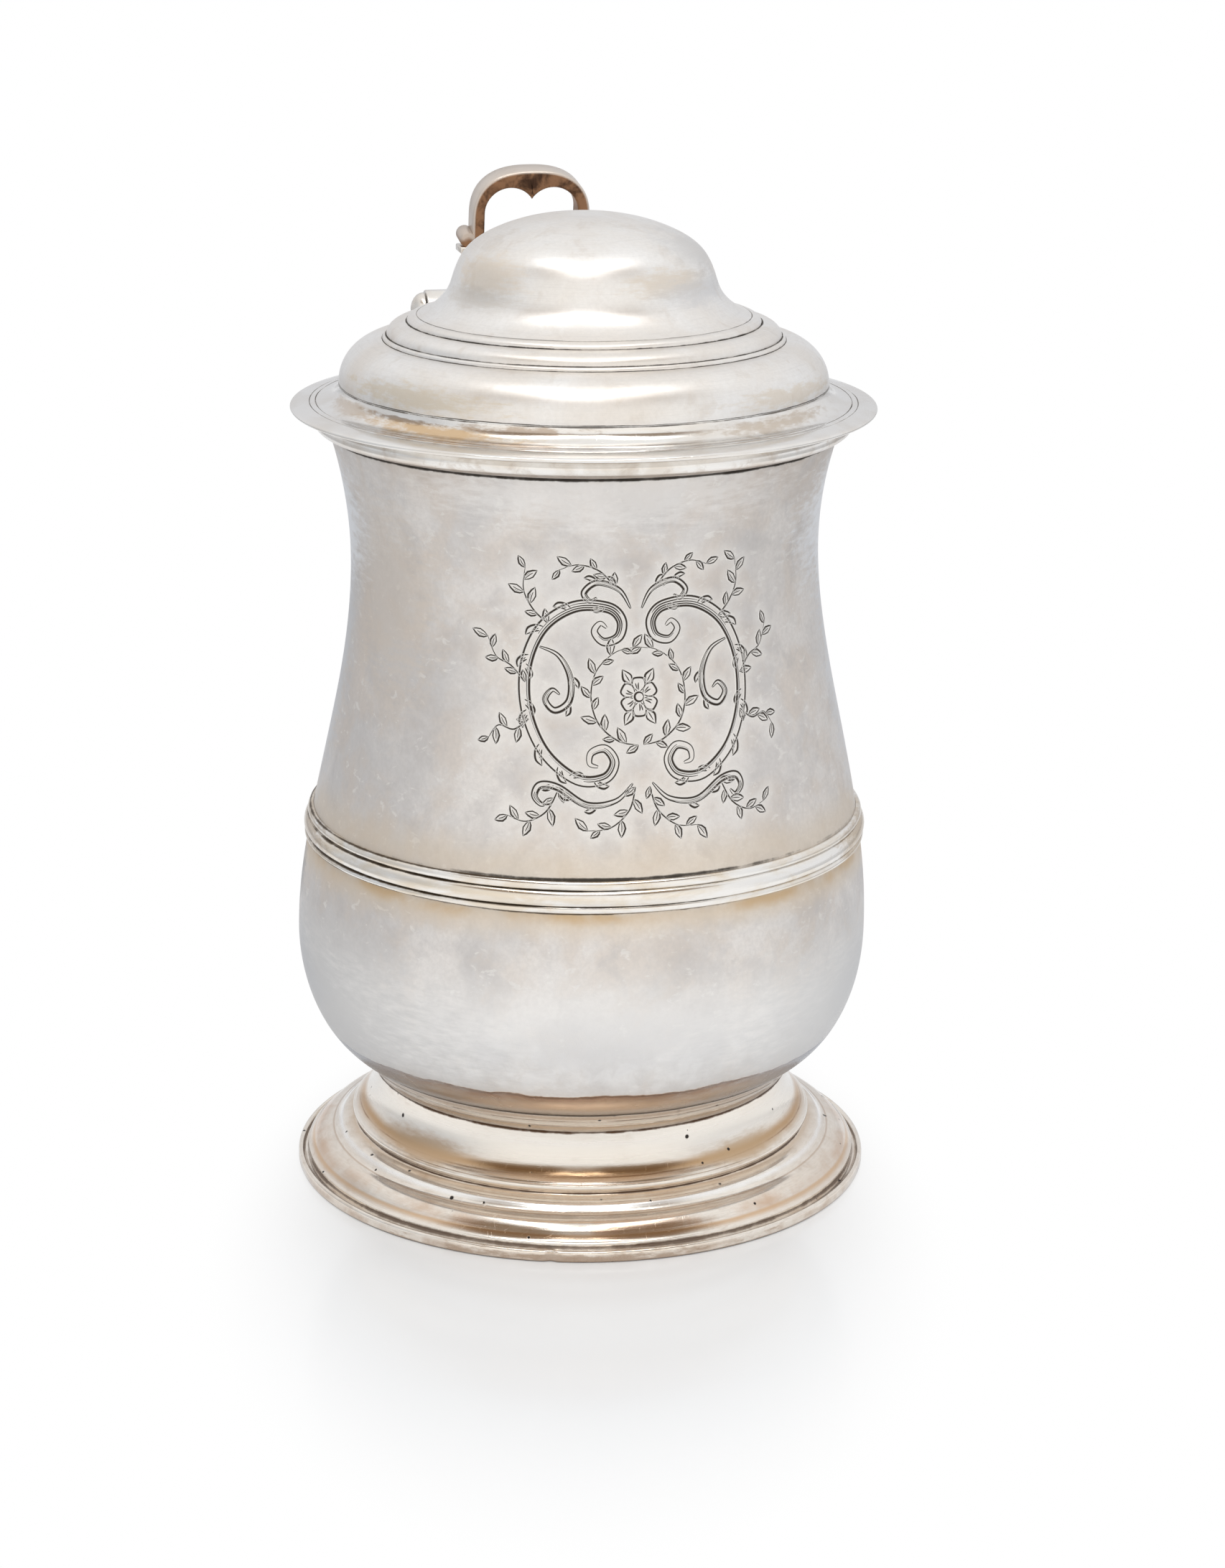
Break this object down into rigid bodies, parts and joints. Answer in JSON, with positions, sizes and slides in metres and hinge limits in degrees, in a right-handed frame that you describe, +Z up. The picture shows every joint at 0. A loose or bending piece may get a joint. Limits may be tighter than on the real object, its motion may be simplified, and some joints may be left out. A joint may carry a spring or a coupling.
{
  "type": "tankard",
  "caption": "Baluster silver tankard with a stepped spreading foot, a reeded girdle, a scroll handle and a domed hinged lid with a pierced thumbpiece.",
  "frame": {"origin": "middle of the foot's resting face", "axes": "+Z up along the vessel's axis, +Y towards the handle, +X across the hinge"},
  "size_m": [0.12, 0.1725, 0.2017],
  "materials": {
    "silver": "old hand-polished silver, satin with fine scratches",
    "worn_silver": "silver with brown tarnish in the mouldings",
    "brown_silver": "silver under brown tarnish"
  },
  "bodies": {
    "vessel": {"body_shell": "silver", "lip_moulding": "silver", "girdle": "silver", "foot_collar": "worn_silver", "foot": "worn_silver", "foot_rim": "worn_silver", "handle_back": "silver", "handle_grip": "silver", "handle_socket": "silver", "handle_pad": "silver", "handle_terminal": "silver", "hinge_bracket": "silver", "handle_knuckles": "silver", "hinge_pin": "worn_silver", "pin_caps": "silver"},
    "lid": {"lid_dome": "silver", "lid_flange": "silver", "lid_bezel": "silver", "lid_hinge_plate": "silver", "lid_knuckles": "silver", "thumbpiece_base": "worn_silver", "thumbpiece": "brown_silver"}
  },
  "joints": [
    {"name": "lid_hinge", "type": "hinge", "parent": "vessel", "child": "lid", "pos_m": [0, 0.065, 0.1705], "axis": [-1, 0, 0], "range_deg": [0, 105]}
  ]
}
